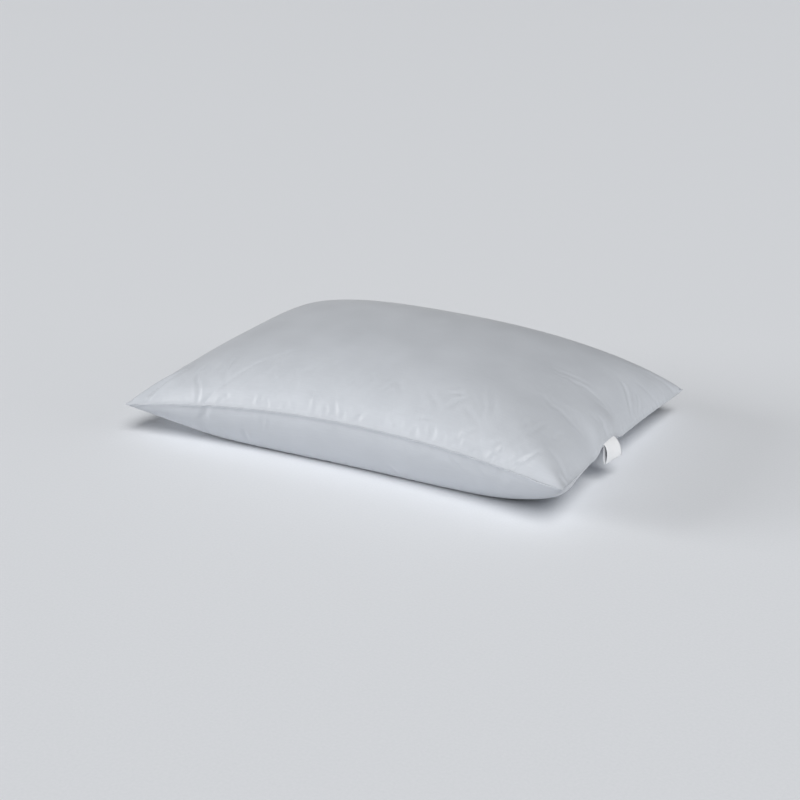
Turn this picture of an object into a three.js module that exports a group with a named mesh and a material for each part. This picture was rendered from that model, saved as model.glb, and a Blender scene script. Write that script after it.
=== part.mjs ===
// A bed pillow: two woven cloth panels sewn together face to face, turned right side out through a
// gap in the left side, filled with loose fibre and closed. The seam is a plain knife edge. Inside it,
// both cut edges stand in as a seam allowance that is overlocked, and a folded ribbon label is caught
// in the right side. Units are millimetres, +Z is up, and the pillow lies on z = 0 with its long
// sides along X.
import * as THREE from 'three';
import { mergeGeometries, mergeVertices } from 'three/addons/utils/BufferGeometryUtils.js';

// ---- The filled pillow ----
const LENGTH = 680;             // seam corner to seam corner along X
const WIDTH = 485;              // seam corner to seam corner along Y
const SHORT_SIDE_PULL = 8;      // how far a short side pulls in at its middle
const LONG_SIDE_PULL = 21;      // how far a long side pulls in at its middle
const CORNER_HEIGHT = { frontLeft: 46, frontRight: 58, backRight: 39, backLeft: 71 };
const SEAM_ARCH = { front: 26, back: 3, left: 5, right: -3 };   // rise of the seam at mid-side
const CROWN_RISE = 84;          // top of the crown above the seam's own level
const CROWN_LEAN = { x: 0.04, y: 0.19 };    // the filling has settled towards the back
const CROWN_SQUARENESS = 2.5;   // 2 is a round crown, more is fuller towards the sides
const BELLY_DROP = 134;         // how far the lower panel would hang with nothing under it
const BELLY_SQUARENESS = 2.2;
const EDGE_FULLNESS = 0.467;    // one half is a round edge, less is fuller
const CONTACT_ROUNDING = 6;     // height over which the belly turns from the bed into its wall

// ---- Cloth, seam and filling ----
const CLOTH = 0.8;              // cloth thickness
const ALLOWANCE = 10;           // depth of the turned-in seam allowance
const CLEARANCE = 0.3;          // between pieces that touch
const LEAST_POCKET = 0.2;       // at a corner, between a panel's face and its own allowance
const FILLING_MARGIN = 1.2;     // between the filling's blunt rim and the overlocked edges

// ---- Threads ----
const THREAD = 0.7;             // diameter of the seam thread
const SEAM_GAP = THREAD + 2 * CLEARANCE;    // room between the two folded edges
const THREAD_SIDES = 6;
const CORNER_MARGIN = 4;        // a thread ends this far before a corner
const OPENING_LENGTH = 180;     // filling gap in the left side, closed by a ladder stitch
const OPENING_MARGIN = 3;       // between the ladder stitch and the machine seam
const LADDER_PITCH = 3.6;       // along the seam, from one stitch to the next
const LADDER_DEPTH = 2.4;       // how far a stitch reaches into the fold
const OVERLOCK_WALL = 0.5;      // thickness of the overlock's thread loops
const OVERLOCK_DEPTH = 5.5;     // bite of the overlock over the cut edges
const OVERLOCK_MARGIN = 16;     // an overlock row ends this far before a corner
const FILLING_INSET = ALLOWANCE + CLEARANCE + OVERLOCK_WALL + FILLING_MARGIN;

// ---- Label ----
const LABEL_CENTRE = -55;       // along the right side, from its middle
const LABEL_WIDTH = 42;         // along the seam
const LABEL_DROP = 28;          // from the seam to the fold
const LABEL_BULGE = 7;          // how far the outer leg stands out below the seam
const LABEL_INNER = 1.6;        // how far the inner leg stands out
const LABEL_RIBBON = 0.22;      // ribbon thickness
const LABEL_TAIL = 8;           // ribbon held inside the seam
const LABEL_FOLD = 4;           // how far out the fold hangs
const LABEL_STEPS = 6;          // points along each curve of the ribbon

const HALF_LENGTH = LENGTH / 2;
const HALF_WIDTH = WIDTH / 2;
const EDGE_RINGS = [0, 1.5, 5, FILLING_INSET];      // insets of the grid lines next to the seam
const FILLING_RING = EDGE_RINGS.length - 1;
const GRID_SPREAD = 0.86;       // 0 spaces the grid lines evenly, 1 crowds them towards the seam
const CELLS_LONG = 22;          // cells across the filling, along X
const CELLS_WIDE = 16;          // cells across the filling, along Y
const MERGE_DISTANCE = 1e-4;
const SLOPE_STEP = 1e-4;        // step in u and v for measuring a surface's slope

// ---- Materials ----
const cloth = new THREE.MeshStandardMaterial({ color: 0xc3c7cd, roughness: 0.5, metalness: 0 });
const filling = new THREE.MeshStandardMaterial({ color: 0xf2f1ec, roughness: 1, metalness: 0 });
const sewingThread = new THREE.MeshStandardMaterial({ color: 0xb9bec6, roughness: 0.6, metalness: 0 });
const overlockThread = new THREE.MeshStandardMaterial({ color: 0xdfe1e4, roughness: 0.8, metalness: 0 });
const ribbon = new THREE.MeshStandardMaterial({ color: 0xf4f5f7, roughness: 0.4, metalness: 0 });

// ---- The pillow's surfaces, over u and v from -1 to 1 ----

// Grid lines from one side to the other: close together at the seam, wider over the middle.
function gridLines(half, cells) {
  const edge = EDGE_RINGS.map((inset) => inset / half - 1);
  const first = edge[FILLING_RING];
  const lines = edge.slice(0, FILLING_RING);
  for (let i = 0; i <= cells; i += 1) {
    const angle = GRID_SPREAD * Math.PI * (i / cells - 0.5);
    lines.push(-first * Math.sin(angle) / Math.sin(GRID_SPREAD * Math.PI / 2));
  }
  edge.slice(0, FILLING_RING).reverse().forEach((line) => lines.push(-line));
  return lines;
}

const U_LINES = gridLines(HALF_LENGTH, CELLS_LONG);
const V_LINES = gridLines(HALF_WIDTH, CELLS_WIDE);

// Height of the seam's level: the four corners blended, and the arch of each side.
function seamHeight(u, v) {
  const right = (1 + u) / 2;
  const back = (1 + v) / 2;
  const front = CORNER_HEIGHT.frontLeft * (1 - right) + CORNER_HEIGHT.frontRight * right;
  const rear = CORNER_HEIGHT.backLeft * (1 - right) + CORNER_HEIGHT.backRight * right;
  const longArch = SEAM_ARCH.front * (1 - back) + SEAM_ARCH.back * back;
  const shortArch = SEAM_ARCH.left * (1 - right) + SEAM_ARCH.right * right;
  return front * (1 - back) + rear * back + longArch * (1 - u * u) + shortArch * (1 - v * v);
}

// A point at seam level, with both long and short sides pulled in at their middles.
function seamLevel(u, v, lift = 0) {
  const x = u * (HALF_LENGTH - SHORT_SIDE_PULL * (1 - v * v));
  const y = v * (HALF_WIDTH - LONG_SIDE_PULL * (1 - u * u));
  return new THREE.Vector3(x, y, seamHeight(u, v) + lift);
}

function fullness(u, v, squareness) {
  const across = (1 - Math.abs(u) ** squareness) * (1 - Math.abs(v) ** squareness);
  return Math.max(across, 0) ** EDGE_FULLNESS;
}

function crown(u, v) {
  const lean = 1 + CROWN_LEAN.x * u + CROWN_LEAN.y * v;
  return seamLevel(u, v, SEAM_GAP / 2 + CROWN_RISE * lean * fullness(u, v, CROWN_SQUARENESS));
}

// The belly hangs from the seam and is flat where it meets z = 0.
function belly(u, v) {
  const point = seamLevel(u, v, -SEAM_GAP / 2 - BELLY_DROP * fullness(u, v, BELLY_SQUARENESS));
  const h = point.z;
  if (h < CONTACT_ROUNDING) {
    point.z = Math.max(h + CONTACT_ROUNDING, 0) ** 2 / (4 * CONTACT_ROUNDING);
  }
  return point;
}

// The point of a surface moved into the pillow along the surface's normal.
function offsetInward(surface, side, u, v, depth) {
  const alongU = surface(u + SLOPE_STEP, v).sub(surface(u - SLOPE_STEP, v));
  const alongV = surface(u, v + SLOPE_STEP).sub(surface(u, v - SLOPE_STEP));
  const normal = alongU.cross(alongV).normalize();
  return surface(u, v).addScaledVector(normal, -side * depth);
}

// u or v moved inwards from its side by an inset in millimetres.
const insetU = (u, inset) => u * (1 - inset / HALF_LENGTH);
const insetV = (v, inset) => v * (1 - inset / HALF_WIDTH);

// ---- Mesh helpers ----

// A surface over rows of points. Its faces point to the left of the rows when seen along them.
function gridSurface(rows, flip = false) {
  const positions = rows.flat().flatMap((p) => [p.x, p.y, p.z]);
  const count = rows[0].length;
  const index = [];
  for (let i = 0; i < rows.length - 1; i += 1) {
    for (let j = 0; j < count - 1; j += 1) {
      const a = i * count + j;
      const [b, c, d] = [a + count, a + count + 1, a + 1];
      index.push(...(flip ? [a, d, b, b, d, c] : [a, b, d, b, c, d]));
    }
  }
  const geometry = new THREE.BufferGeometry();
  geometry.setAttribute('position', new THREE.Float32BufferAttribute(positions, 3));
  geometry.setIndex(index);
  return geometry;
}

function closedSolid(surfaces) {
  const geometry = mergeVertices(mergeGeometries(surfaces), MERGE_DISTANCE);
  geometry.computeVertexNormals();
  return geometry;
}

// All u and v pairs round the border of the grid lines, anticlockwise from above, and closed.
function borderLoop(us, vs) {
  const left = us[0];
  const right = us[us.length - 1];
  const front = vs[0];
  const back = vs[vs.length - 1];
  const loop = us.map((u) => [u, front]);
  vs.slice(1).forEach((v) => loop.push([right, v]));
  us.slice(0, -1).reverse().forEach((u) => loop.push([u, back]));
  vs.slice(0, -1).reverse().forEach((v) => loop.push([left, v]));
  return loop;
}

// A solid whose closed outline of [out, up], anticlockwise, is carried through a list of stations.
// turned says that out points to the left of the way along the stations.
function sweptSolid(outline, stations, place, turned) {
  const rows = stations.map((station) => {
    const row = outline.map(([out, up]) => place(station, out, up));
    return [...row, row[0]];
  });
  const faces = THREE.ShapeUtils.triangulateShape(outline.map(([x, y]) => new THREE.Vector2(x, y)), []);
  const caps = [0, rows.length - 1].map((end) => {
    const cap = new THREE.BufferGeometry();
    const points = rows[end].slice(0, -1).flatMap((p) => [p.x, p.y, p.z]);
    cap.setAttribute('position', new THREE.Float32BufferAttribute(points, 3));
    cap.setIndex(faces.flatMap(([a, b, c]) => ((end === 0) === turned ? [a, c, b] : [a, b, c])));
    return cap;
  });
  return closedSolid([gridSurface(rows, turned), ...caps]);
}

// ---- Cloth panels ----

// One panel: outer face, inner face, and the allowance turned in at seam level.
function panelGeometry(surface, side) {
  const flange = side * (SEAM_GAP / 2);
  const flangeInside = side * (SEAM_GAP / 2 + CLOTH);
  const isBorder = (u, v) => Math.abs(u) === 1 || Math.abs(v) === 1;
  const innerPoint = (u, v) => {
    if (isBorder(u, v)) return seamLevel(insetU(u, CLOTH), insetV(v, CLOTH), flangeInside);
    const point = offsetInward(surface, side, u, v, CLOTH);
    const limit = seamHeight(u, v) + flangeInside + side * LEAST_POCKET;
    point.z = side > 0 ? Math.max(point.z, limit) : Math.min(point.z, limit);
    return point;
  };
  const outer = U_LINES.map((u) => V_LINES.map((v) => surface(u, v)));
  const inner = U_LINES.map((u) => V_LINES.map((v) => innerPoint(u, v)));
  const loop = borderLoop(U_LINES, V_LINES);
  const allowanceEdge = (lift) => loop.map(([u, v]) => (
    seamLevel(insetU(u, ALLOWANCE), insetV(v, ALLOWANCE), lift)));
  const rim = [
    loop.map(([u, v]) => surface(u, v)),
    allowanceEdge(flange),
    allowanceEdge(flangeInside),
    loop.map(([u, v]) => innerPoint(u, v)),
  ];
  return closedSolid([
    gridSurface(outer, side < 0),
    gridSurface(inner, side > 0),
    gridSurface(rim, side < 0),
  ]);
}

// ---- Filling ----

// The filling lies against both panels and has a blunt rim inside the overlocked edges.
function fillingGeometry() {
  const us = U_LINES.slice(FILLING_RING, -FILLING_RING);
  const vs = V_LINES.slice(FILLING_RING, -FILLING_RING);
  const depth = CLOTH + CLEARANCE;
  const upper = (u, v) => offsetInward(crown, 1, u, v, depth);
  const lower = (u, v) => offsetInward(belly, -1, u, v, depth);
  const loop = borderLoop(us, vs);
  return closedSolid([
    gridSurface(us.map((u) => vs.map((v) => upper(u, v)))),
    gridSurface(us.map((u) => vs.map((v) => lower(u, v))), true),
    gridSurface([loop.map(([u, v]) => upper(u, v)), loop.map(([u, v]) => lower(u, v))]),
  ]);
}

// ---- Pieces that run along a side of the seam ----

const SIDES = {
  front: { half: HALF_LENGTH, lines: U_LINES, uv: (s, out) => [s, insetV(-1, -out)] },
  back: { half: HALF_LENGTH, lines: U_LINES, uv: (s, out) => [s, insetV(1, -out)] },
  left: { half: HALF_WIDTH, lines: V_LINES, uv: (s, out) => [insetU(-1, -out), s] },
  right: { half: HALF_WIDTH, lines: V_LINES, uv: (s, out) => [insetU(1, -out), s] },
};

// Stations along a side, from and to in millimetres from its middle, on the panels' grid lines.
function stationsAlong(side, from, to) {
  const { half, lines } = SIDES[side];
  const [first, last] = [from / half, to / half];
  const closest = CLEARANCE / half;
  const between = lines.filter((line) => line > first + closest && line < last - closest);
  return [first, ...between, last];
}

function alongSide(side, outline, stations) {
  const place = (s, out, up) => {
    const [u, v] = SIDES[side].uv(s, out);
    return seamLevel(u, v, up);
  };
  return sweptSolid(outline, stations, place, side === 'left' || side === 'back');
}

// The round outline of a thread lying in the seam, just inside the folded edges.
function threadOutline(inset) {
  const centre = -inset - THREAD / 2;
  return Array.from({ length: THREAD_SIDES }, (_, i) => {
    const angle = (i / THREAD_SIDES) * 2 * Math.PI;
    return [centre + (THREAD / 2) * Math.cos(angle), (THREAD / 2) * Math.sin(angle)];
  });
}

function seamThread(side, from, to) {
  return alongSide(side, threadOutline(CLEARANCE), stationsAlong(side, from, to));
}

// A hand-sewn ladder stitch: the thread steps in and out of the two folds as it goes along.
function closingStitch() {
  const run = OPENING_LENGTH - 2 * OPENING_MARGIN;
  const steps = Math.round(run / LADDER_PITCH);
  const { half, uv } = SIDES.left;
  const place = (step, out, up) => {
    const deep = (step % 2) * LADDER_DEPTH;
    const [u, v] = uv(((step / steps - 0.5) * run) / half, out - deep);
    return seamLevel(u, v, up);
  };
  const stations = Array.from({ length: steps + 1 }, (_, i) => i);
  return sweptSolid(threadOutline(CLEARANCE), stations, place, true);
}

// The overlock wraps the cut edges of both allowances as a channel of thread loops.
function overlock(side, from, to) {
  const inner = SEAM_GAP / 2 + CLOTH + CLEARANCE;
  const outer = inner + OVERLOCK_WALL;
  const mouth = OVERLOCK_DEPTH - ALLOWANCE;
  const web = -ALLOWANCE - CLEARANCE;
  const outline = [
    [mouth, -outer], [mouth, -inner], [web, -inner], [web, inner],
    [mouth, inner], [mouth, outer], [web - OVERLOCK_WALL, outer], [web - OVERLOCK_WALL, -outer],
  ];
  return alongSide(side, outline, stationsAlong(side, from, to));
}

// ---- Label ----

// The ribbon's centre line: out of the seam, down to the fold and back up into the seam.
function labelPath() {
  const level = SEAM_GAP / 4;
  const quarter = LABEL_DROP / 4;
  const path = new THREE.Path();
  path.moveTo(-LABEL_TAIL, level);
  path.lineTo(0, level);
  path.bezierCurveTo(LABEL_FOLD, level, LABEL_BULGE, -quarter, LABEL_BULGE, -2 * quarter);
  path.bezierCurveTo(LABEL_BULGE, -3 * quarter, LABEL_FOLD + 1, -4 * quarter, LABEL_FOLD, -4 * quarter);
  path.bezierCurveTo(LABEL_FOLD - 1, -4 * quarter, LABEL_INNER, -3 * quarter, LABEL_INNER, -2 * quarter);
  path.bezierCurveTo(LABEL_INNER, -quarter, LABEL_INNER + 1, -level, CLEARANCE, -level);
  path.lineTo(-LABEL_TAIL, -level);
  return path;
}

// The ribbon's outline: its centre line moved half a thickness to each side.
function ribbonOutline(path) {
  const points = path.getPoints(LABEL_STEPS);
  const shifted = (side) => points.map((point, i) => {
    const ahead = points[Math.min(i + 1, points.length - 1)];
    const behind = points[Math.max(i - 1, 0)];
    const normal = new THREE.Vector2(behind.y - ahead.y, ahead.x - behind.x).normalize();
    return [point.x + side * normal.x * LABEL_RIBBON / 2, point.y + side * normal.y * LABEL_RIBBON / 2];
  });
  return [...shifted(1), ...shifted(-1).reverse()];
}

function labelGeometry() {
  const from = LABEL_CENTRE - LABEL_WIDTH / 2;
  const outline = ribbonOutline(labelPath()).reverse();
  return alongSide('right', outline, stationsAlong('right', from, from + LABEL_WIDTH));
}

// ---- Assembly ----

const pillow = new THREE.Group();

function addPiece(name, geometry, material) {
  const mesh = new THREE.Mesh(geometry, material);
  mesh.name = name;
  pillow.add(mesh);
}

addPiece('top_panel', panelGeometry(crown, 1), cloth);
addPiece('bottom_panel', panelGeometry(belly, -1), cloth);
addPiece('fibre_fill', fillingGeometry(), filling);

const threadEnd = { long: HALF_LENGTH - CORNER_MARGIN, short: HALF_WIDTH - CORNER_MARGIN };
const overlockEnd = { long: HALF_LENGTH - OVERLOCK_MARGIN, short: HALF_WIDTH - OVERLOCK_MARGIN };
const halfOpening = OPENING_LENGTH / 2;
const labelFront = LABEL_CENTRE - LABEL_WIDTH / 2 - CLEARANCE;
const labelBack = LABEL_CENTRE + LABEL_WIDTH / 2 + CLEARANCE;

addPiece('seam_thread_front', seamThread('front', -threadEnd.long, threadEnd.long), sewingThread);
addPiece('seam_thread_back', seamThread('back', -threadEnd.long, threadEnd.long), sewingThread);
addPiece('seam_thread_right_front', seamThread('right', -threadEnd.short, labelFront), sewingThread);
addPiece('seam_thread_right_back', seamThread('right', labelBack, threadEnd.short), sewingThread);
addPiece('seam_thread_left_front', seamThread('left', -threadEnd.short, -halfOpening), sewingThread);
addPiece('seam_thread_left_back', seamThread('left', halfOpening, threadEnd.short), sewingThread);
addPiece('closing_stitch', closingStitch(), sewingThread);

addPiece('overlock_front', overlock('front', -overlockEnd.long, overlockEnd.long), overlockThread);
addPiece('overlock_back', overlock('back', -overlockEnd.long, overlockEnd.long), overlockThread);
addPiece('overlock_right', overlock('right', -overlockEnd.short, overlockEnd.short), overlockThread);
addPiece('overlock_left_front', overlock('left', -overlockEnd.short, -halfOpening), overlockThread);
addPiece('overlock_left_back', overlock('left', halfOpening, overlockEnd.short), overlockThread);

addPiece('care_label', labelGeometry(), ribbon);

export default pillow;
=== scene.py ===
# %% [markdown]
# # A bed pillow
# A bed pillow is a bag of sateen cloth, sewn from two flat panels and filled with loose fibre. This
# lesson builds it the way it is made: two panels are cut flat, sewn together round the border, blown
# up by the filling and laid down, and then the seam, its puckers, the stitches and the label are added.
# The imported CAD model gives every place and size, so it is loaded first and measured.

# %% Load the frame
import math
import bpy
import numpy as np
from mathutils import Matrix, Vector


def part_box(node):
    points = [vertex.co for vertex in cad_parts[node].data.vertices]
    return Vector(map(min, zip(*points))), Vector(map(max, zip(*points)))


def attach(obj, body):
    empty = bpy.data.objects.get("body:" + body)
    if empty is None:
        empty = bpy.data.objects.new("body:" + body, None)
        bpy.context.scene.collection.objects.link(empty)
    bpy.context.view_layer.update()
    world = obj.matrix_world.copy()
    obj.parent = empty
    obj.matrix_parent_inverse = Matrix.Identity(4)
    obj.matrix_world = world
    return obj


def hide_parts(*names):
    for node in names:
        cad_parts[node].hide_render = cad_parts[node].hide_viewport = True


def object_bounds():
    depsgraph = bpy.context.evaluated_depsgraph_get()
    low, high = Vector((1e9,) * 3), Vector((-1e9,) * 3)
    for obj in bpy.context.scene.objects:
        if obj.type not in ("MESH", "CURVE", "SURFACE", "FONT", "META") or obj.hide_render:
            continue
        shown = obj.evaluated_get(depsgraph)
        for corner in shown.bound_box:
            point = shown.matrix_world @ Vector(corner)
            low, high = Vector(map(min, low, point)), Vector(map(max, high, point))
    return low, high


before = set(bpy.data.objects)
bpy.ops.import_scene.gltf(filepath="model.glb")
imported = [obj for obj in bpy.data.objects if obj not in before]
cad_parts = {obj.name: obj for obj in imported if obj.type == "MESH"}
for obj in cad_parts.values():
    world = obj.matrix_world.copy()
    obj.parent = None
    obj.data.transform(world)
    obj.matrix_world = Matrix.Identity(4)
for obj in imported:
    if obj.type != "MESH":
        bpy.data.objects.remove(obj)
CAD_BOX = [list(corner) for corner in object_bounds()]
MM = 0.001
print("CAD box in mm:", [[round(x / MM) for x in corner] for corner in CAD_BOX])

# %% [markdown]
# ## Helpers for operators
# An operator acts on whatever is selected and active, so every piece starts with nothing selected.

# %% Selection helpers
def only(piece):
    """Makes one object the only selected one, and the active one."""
    bpy.ops.object.select_all(action="DESELECT")
    piece.select_set(True)
    bpy.context.view_layer.objects.active = piece
    return piece


def apply_modifier(piece, kind, **settings):
    """Adds a modifier with its settings and applies it."""
    modifier = piece.modifiers.new(kind.title(), kind)
    for name, value in settings.items():
        setattr(modifier, name, value)
    only(piece)
    bpy.ops.object.modifier_apply(modifier=modifier.name)


# %% [markdown]
# ## Camera
# The pillow is seen from the front right, a little from above, through a slightly long lens.

# %% Camera
AZIMUTH, ELEVATION, DISTANCE = math.radians(29.6), math.radians(19.4), 1.782
LOOK_AT = Vector((-0.020, 0.003, 0.035))

bpy.ops.object.camera_add()
camera = bpy.context.object
camera.name = "camera"
camera.data.lens = 53.3
camera.data.sensor_width = 36
level_away = Vector((math.sin(AZIMUTH), -math.cos(AZIMUTH), 0))
away = level_away * math.cos(ELEVATION) + Vector((0, 0, math.sin(ELEVATION)))
camera.location = LOOK_AT + away * DISTANCE
camera.rotation_euler = (-away).to_track_quat("-Z", "Y").to_euler()
bpy.context.scene.camera = camera
print("camera stands at", [round(x, 3) for x in camera.location])

# %% [markdown]
# ## The sewn line
# The CAD threads mark where the two panels meet. Their ends and middles give the height of the seam
# at each corner and at the middle of each side, and their spread gives how far a side pulls in.

# %% Measure the seam
low, high = (Vector(corner) for corner in CAD_BOX)
HALF_LENGTH = (high.x - low.x) / 2
HALF_WIDTH = (high.y - low.y) / 2
NEAR_POINTS = 12    # thread vertices that a height is averaged over
THREADS = {
    "front": ["seam_thread_front"],
    "back": ["seam_thread_back"],
    "left": ["seam_thread_left_front", "seam_thread_left_back", "closing_stitch"],
    "right": ["seam_thread_right_front", "seam_thread_right_back"],
}


def thread_points(side):
    nodes = [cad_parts[name] for name in THREADS[side]]
    return np.array([v.co for node in nodes for v in node.data.vertices])


def seam_height(side, place):
    """Height of a side's thread near a place, measured along the side."""
    points = thread_points(side)
    along = points[:, 0 if side in ("front", "back") else 1]
    nearest = np.argsort(np.abs(along - place))[:NEAR_POINTS]
    return float(points[nearest, 2].mean())


corner_height = {
    (-1, -1): seam_height("front", -HALF_LENGTH), (1, -1): seam_height("front", HALF_LENGTH),
    (-1, 1): seam_height("back", -HALF_LENGTH), (1, 1): seam_height("back", HALF_LENGTH),
}


def arch(side, first, second):
    return seam_height(side, 0) - (corner_height[first] + corner_height[second]) / 2


ARCH = {
    "front": arch("front", (-1, -1), (1, -1)), "back": arch("back", (-1, 1), (1, 1)),
    "left": arch("left", (-1, -1), (-1, 1)), "right": arch("right", (1, -1), (1, 1)),
}
LONG_PULL = HALF_WIDTH - float(np.abs(thread_points("back")[:, 1]).min())
SHORT_PULL = HALF_LENGTH - float(np.abs(thread_points("left")[:, 0]).min())
print("corner heights in mm:", {k: round(v / MM) for k, v in corner_height.items()})
print("arches in mm:", {k: round(v / MM) for k, v in ARCH.items()}, "pulls:", LONG_PULL, SHORT_PULL)

# %% [markdown]
# ## The form of the filled pillow
# The filling makes a crowned closed form whose sides pull in between the corners. Over s and t, which
# run from -1 to 1 across a panel, the seam's level is a blend of the corner heights with an arch along
# each side, and the crown and the belly rise and hang from it. The belly is flat where it lies down, and
# it tapers towards the two short ends, which lift off the bed. The folded label stiffens the seam that it
# is caught in, so the seam stands a little higher there.

# %% The crowned form
CROWN_RISE, CROWN_SQUARENESS = 84 * MM, 2.5
CROWN_LEAN_X, CROWN_LEAN_Y = 0.04, 0.19    # the crown is a little higher to the right and the back
BELLY_DROP, BELLY_SQUARENESS = 134 * MM, 2.2
EDGE_FULLNESS = 0.467    # a low power is full right up to the edge, and a high one tapers
BELLY_FULLNESS = {"left": 0.58, "right": 0.95, "front": 0.467, "back": 0.6}
FRONT_CORNER_FULLNESS, FRONT_CORNER_REACH = 0.45, 0.9
CONTACT_ROUNDING = 6 * MM
LABEL_LIFT, LABEL_SPREAD, LABEL_REACH = 10 * MM, 40 * MM, 14    # the reach is a power of s
LABEL_MIDDLE = (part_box("care_label")[0][1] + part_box("care_label")[1][1]) / 2


def seam_level(s, t):
    right, back = (1 + s) / 2, (1 + t) / 2
    front_row = corner_height[-1, -1] * (1 - right) + corner_height[1, -1] * right
    back_row = corner_height[-1, 1] * (1 - right) + corner_height[1, 1] * right
    long_arch = ARCH["front"] * (1 - back) + ARCH["back"] * back
    short_arch = ARCH["left"] * (1 - right) + ARCH["right"] * right
    z = front_row * (1 - back) + back_row * back + long_arch * (1 - s * s) + short_arch * (1 - t * t)
    x = s * (HALF_LENGTH - SHORT_PULL * (1 - t * t))
    y = t * (HALF_WIDTH - LONG_PULL * (1 - s * s))
    z += LABEL_LIFT * np.exp(-((y - LABEL_MIDDLE) / LABEL_SPREAD) ** 4) * np.clip(s, 0, 1) ** LABEL_REACH
    return np.stack([x, y, z], axis=-1)


def fullness(s, t, squareness, short_edge=EDGE_FULLNESS, long_edge=EDGE_FULLNESS):
    lengthwise = np.maximum(1 - np.abs(s) ** squareness, 0) ** short_edge
    return lengthwise * np.maximum(1 - np.abs(t) ** squareness, 0) ** long_edge


def crowned_form(s, t, side):
    """Points of the filled pillow: side is 1 on the top panel, -1 on the bottom one, 0 in the seam."""
    points = seam_level(s, t)
    lean = 1 + CROWN_LEAN_X * s + CROWN_LEAN_Y * t
    crown = points[..., 2] + CROWN_RISE * lean * fullness(s, t, CROWN_SQUARENESS)
    from_corner = np.clip((t + 1) / FRONT_CORNER_REACH, 0, 1)
    from_corner = from_corner * from_corner * (3 - 2 * from_corner)
    right_edge = FRONT_CORNER_FULLNESS + (BELLY_FULLNESS["right"] - FRONT_CORNER_FULLNESS) * from_corner
    short_edge = np.where(s < 0, BELLY_FULLNESS["left"], right_edge)
    long_edge = np.where(t < 0, BELLY_FULLNESS["front"], BELLY_FULLNESS["back"])
    belly = points[..., 2] - BELLY_DROP * fullness(s, t, BELLY_SQUARENESS, short_edge, long_edge)
    rounded = np.maximum(belly + CONTACT_ROUNDING, 0) ** 2 / (4 * CONTACT_ROUNDING)
    belly = np.where(belly < CONTACT_ROUNDING, rounded, belly)
    points[..., 2] = np.where(side > 0, crown, np.where(side < 0, belly, points[..., 2]))
    return points


# %% [markdown]
# ## Two panels, cut flat and sewn
# Each panel is cut 711 by 508 mm inside its seam allowance. Two grids of that size are laid on each
# other and merged round the border, which makes the sewn bag. The flat cut is kept as a shape key,
# because the cloth simulation measures its springs on it: where the filled form is shorter than the
# cut, the spare cloth has to buckle, and that is where a real pillow's creases come from.

# %% Cut and sew the bag
CUT_LENGTH, CUT_WIDTH = 711 * MM, 508 * MM
CELLS_LONG, CELLS_WIDE = 158, 113
LAYER = 1 * MM


def cut_panel(height):
    bpy.ops.mesh.primitive_grid_add(x_subdivisions=CELLS_LONG, y_subdivisions=CELLS_WIDE, size=1)
    panel = bpy.context.object
    panel.scale = (CUT_LENGTH, CUT_WIDTH, 1)
    only(panel)
    bpy.ops.object.transform_apply(location=False, rotation=False, scale=True)
    for v in panel.data.vertices:
        inside = abs(v.co.x) < CUT_LENGTH / 2 - MM and abs(v.co.y) < CUT_WIDTH / 2 - MM
        v.co.z = height if inside else 0
    return panel


bpy.ops.object.select_all(action="DESELECT")
upper, lower = cut_panel(LAYER), cut_panel(-LAYER)
only(lower)
bpy.ops.object.mode_set(mode="EDIT")
bpy.ops.mesh.select_all(action="SELECT")
bpy.ops.mesh.flip_normals()
bpy.ops.object.mode_set(mode="OBJECT")
only(upper)
lower.select_set(True)
bpy.ops.object.join()
bag = bpy.context.object
bag.name = "sewn_bag"
bpy.ops.object.mode_set(mode="EDIT")
bpy.ops.mesh.select_all(action="SELECT")
bpy.ops.mesh.remove_doubles(threshold=0.1 * MM)
bpy.ops.object.mode_set(mode="OBJECT")

flat = np.array([v.co for v in bag.data.vertices])
cut_s, cut_t = flat[:, 0] / (CUT_LENGTH / 2), flat[:, 1] / (CUT_WIDTH / 2)
cut_side = np.sign(np.round(flat[:, 2] / LAYER))
column = np.round((cut_s + 1) / 2 * CELLS_LONG).astype(int)
row = np.round((cut_t + 1) / 2 * CELLS_WIDE).astype(int)
print("the bag has", len(flat), "vertices")

# %% [markdown]
# ## Spreading the cut over the form
# The form is steep beside the seam, so equal steps of s and t would stretch the cloth there several
# times over. The grid lines are slid along the form until their points lie evenly along every line,
# as they do on real cloth, and each vertex of the bag starts from its own grid point.

# %% Spread the grid evenly
SPREADING_ROUNDS = 10


def evened(s, t, side):
    """Slides the points along each line of the first axis until they are evenly spaced."""
    points = crowned_form(s, t, side)
    steps = np.linalg.norm(np.diff(points, axis=0), axis=-1)
    reached = np.vstack([np.zeros(steps.shape[1]), np.cumsum(steps, axis=0)])
    even = np.linspace(0, 1, len(s))[:, None] * reached[-1]
    lines = range(s.shape[1])
    s = np.stack([np.interp(even[:, k], reached[:, k], s[:, k]) for k in lines], axis=1)
    t = np.stack([np.interp(even[:, k], reached[:, k], t[:, k]) for k in lines], axis=1)
    return s, t


def spread(side):
    s, t = np.meshgrid(np.linspace(-1, 1, CELLS_LONG + 1), np.linspace(-1, 1, CELLS_WIDE + 1), indexing="ij")
    for _ in range(SPREADING_ROUNDS):
        s, t = evened(s, t, side)
        s, t = (turned.T for turned in evened(s.T, t.T, side))
    return crowned_form(s, t, side)


form_grid = {side: spread(side) for side in (1, -1)}
form = np.where((cut_side < 0)[:, None], form_grid[-1][column, row], form_grid[1][column, row])
first_step = np.linalg.norm(form_grid[1][CELLS_LONG // 2, 1] - form_grid[1][CELLS_LONG // 2, 0])
print("first step beside the front seam in mm:", round(first_step / MM, 2))

# %% [markdown]
# ## Filling and settling by cloth simulation
# Pressure from inside stands for the filling, and the floor flattens the belly. The seam is held close
# to its measured line and the panels are nearly free, so the spare cloth along the seams buckles into
# the soft folds that run up from a real pillow's long sides.

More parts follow.
